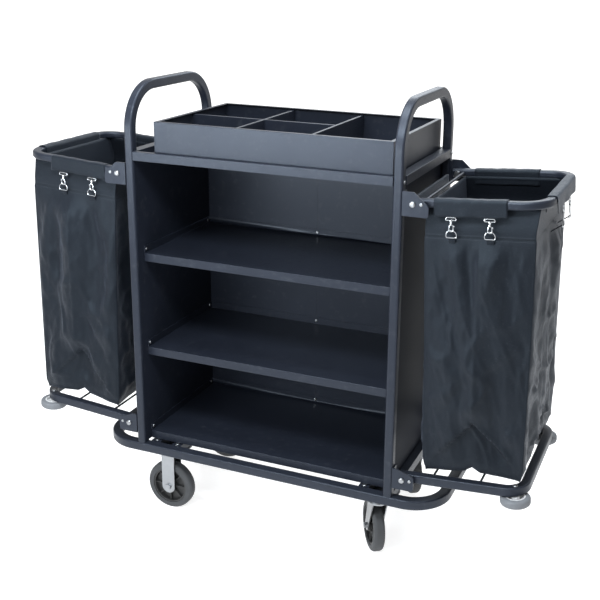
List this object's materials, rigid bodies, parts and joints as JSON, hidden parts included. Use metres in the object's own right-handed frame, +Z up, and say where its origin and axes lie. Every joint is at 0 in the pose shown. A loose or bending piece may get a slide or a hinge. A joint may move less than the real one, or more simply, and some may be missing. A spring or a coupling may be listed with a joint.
{
  "type": "housekeeping cart",
  "caption": "Steel housekeeping cart with open shelves, a divided top tray, push handles at both ends, fold-up linen bag frames and platforms, bumper wheels and casters",
  "frame": {"origin": "on the floor, under the middle of the end frames and base loop", "axes": "+X along the cart towards the swivel casters, +Y towards the closed back, +Z up"},
  "size_m": [1.5424, 0.5076, 1.288],
  "materials": {
    "powder_coat": "satin, fine texture",
    "zinc": "bright zinc plate",
    "bag_cloth": "coated woven cloth",
    "grey_tyre": "matt",
    "black_hub": "matt",
    "pale_hub": "matt"
  },
  "bodies": {
    "cart": {"base_loop": "powder_coat", "base_cross_rails": "powder_coat", "left_end_frame": "powder_coat", "right_end_frame": "powder_coat", "top_deck": "powder_coat", "upper_shelf": "powder_coat", "middle_shelf": "powder_coat", "bottom_shelf": "powder_coat", "left_side_panel": "powder_coat", "right_side_panel": "powder_coat", "left_back_panel": "powder_coat", "right_back_panel": "powder_coat", "panel_bolts": "zinc", "hinge_pins": "zinc", "left_frame_brackets": "powder_coat", "right_frame_brackets": "powder_coat", "left_platform_brackets": "powder_coat", "right_platform_brackets": "powder_coat", "rigid_forks": "zinc", "rigid_axles": "zinc", "swivel_plates": "zinc", "caster_bolts": "zinc"},
    "tray": {"tray_box": "powder_coat", "tray_cross_dividers": "powder_coat", "tray_long_divider": "powder_coat"},
    "right_bag_holder": {"right_bag_frame": "powder_coat", "right_bag_cross_rod": "powder_coat", "right_bag": "bag_cloth", "right_bag_hooks": "zinc"},
    "right_platform": {"right_platform_frame": "powder_coat", "right_platform_rods": "powder_coat", "right_bumper_bolts": "zinc"},
    "right_front_bumper": {"right_front_bumper_tyre": "grey_tyre", "right_front_bumper_hub": "pale_hub"},
    "right_rear_bumper": {"right_rear_bumper_tyre": "grey_tyre", "right_rear_bumper_hub": "pale_hub"},
    "left_bag_holder": {"left_bag_frame": "powder_coat", "left_bag_cross_rod": "powder_coat", "left_bag": "bag_cloth", "left_bag_hooks": "zinc"},
    "left_platform": {"left_platform_frame": "powder_coat", "left_platform_rods": "powder_coat", "left_bumper_bolts": "zinc"},
    "left_front_bumper": {"left_front_bumper_tyre": "grey_tyre", "left_front_bumper_hub": "pale_hub"},
    "left_rear_bumper": {"left_rear_bumper_tyre": "grey_tyre", "left_rear_bumper_hub": "pale_hub"},
    "left_front_caster_wheel": {"left_front_tyre": "grey_tyre", "left_front_wheel": "black_hub"},
    "right_front_swivel": {"right_front_fork": "zinc", "right_front_axle": "zinc"},
    "right_front_caster_wheel": {"right_front_tyre": "grey_tyre", "right_front_wheel": "black_hub"},
    "left_rear_caster_wheel": {"left_rear_tyre": "grey_tyre", "left_rear_wheel": "black_hub"},
    "right_rear_swivel": {"right_rear_fork": "zinc", "right_rear_axle": "zinc"},
    "right_rear_caster_wheel": {"right_rear_tyre": "grey_tyre", "right_rear_wheel": "black_hub"}
  },
  "joints": [
    {"name": "tray_lift", "type": "slide", "parent": "cart", "child": "tray", "axis": [0, 0, 1], "range_m": [0, 0.15]},
    {"name": "right_frame_fold", "type": "hinge", "parent": "cart", "child": "right_bag_holder", "pos_m": [0.427, 0, 1.039], "axis": [0, -1, 0], "range_deg": [0, 86], "deforming": ["right_bag"]},
    {"name": "right_platform_fold", "type": "hinge", "parent": "cart", "child": "right_platform", "pos_m": [0.427, 0, 0.281], "axis": [0, -1, 0], "range_deg": [0, 86]},
    {"name": "right_front_bumper_spin", "type": "hinge", "parent": "right_platform", "child": "right_front_bumper", "pos_m": [0.72617, -0.19205, 0.27606], "axis": [-0.0698, 0, 0.9976], "continuous": true},
    {"name": "right_rear_bumper_spin", "type": "hinge", "parent": "right_platform", "child": "right_rear_bumper", "pos_m": [0.72617, 0.19205, 0.27606], "axis": [-0.0698, 0, 0.9976], "continuous": true},
    {"name": "left_frame_fold", "type": "hinge", "parent": "cart", "child": "left_bag_holder", "pos_m": [-0.427, 0, 1.039], "axis": [0, 1, 0], "range_deg": [0, 86], "deforming": ["left_bag"]},
    {"name": "left_platform_fold", "type": "hinge", "parent": "cart", "child": "left_platform", "pos_m": [-0.427, 0, 0.281], "axis": [0, 1, 0], "range_deg": [0, 86]},
    {"name": "left_front_bumper_spin", "type": "hinge", "parent": "left_platform", "child": "left_front_bumper", "pos_m": [-0.72617, -0.19205, 0.27606], "axis": [0.0698, 0, 0.9976], "continuous": true},
    {"name": "left_rear_bumper_spin", "type": "hinge", "parent": "left_platform", "child": "left_rear_bumper", "pos_m": [-0.72617, 0.19205, 0.27606], "axis": [0.0698, 0, 0.9976], "continuous": true},
    {"name": "left_front_wheel_spin", "type": "hinge", "parent": "cart", "child": "left_front_caster_wheel", "pos_m": [-0.318, -0.175, 0.075], "axis": [0, 1, 0], "continuous": true},
    {"name": "right_front_swivel_turn", "type": "hinge", "parent": "cart", "child": "right_front_swivel", "pos_m": [0.346, -0.175, 0.17], "axis": [0, 0, 1], "continuous": true},
    {"name": "right_front_wheel_spin", "type": "hinge", "parent": "right_front_swivel", "child": "right_front_caster_wheel", "pos_m": [0.32475, -0.1435, 0.075], "axis": [-0.829, -0.5592, 0], "continuous": true},
    {"name": "left_rear_wheel_spin", "type": "hinge", "parent": "cart", "child": "left_rear_caster_wheel", "pos_m": [-0.318, 0.175, 0.075], "axis": [0, 1, 0], "continuous": true},
    {"name": "right_rear_swivel_turn", "type": "hinge", "parent": "cart", "child": "right_rear_swivel", "pos_m": [0.346, 0.175, 0.17], "axis": [0, 0, 1], "continuous": true},
    {"name": "right_rear_wheel_spin", "type": "hinge", "parent": "right_rear_swivel", "child": "right_rear_caster_wheel", "pos_m": [0.32475, 0.2065, 0.075], "axis": [-0.829, -0.5592, 0], "continuous": true}
  ],
  "couplings": [
    {"joint": "right_platform_fold", "follows": "right_frame_fold", "ratio": 1},
    {"joint": "left_platform_fold", "follows": "left_frame_fold", "ratio": 1}
  ]
}
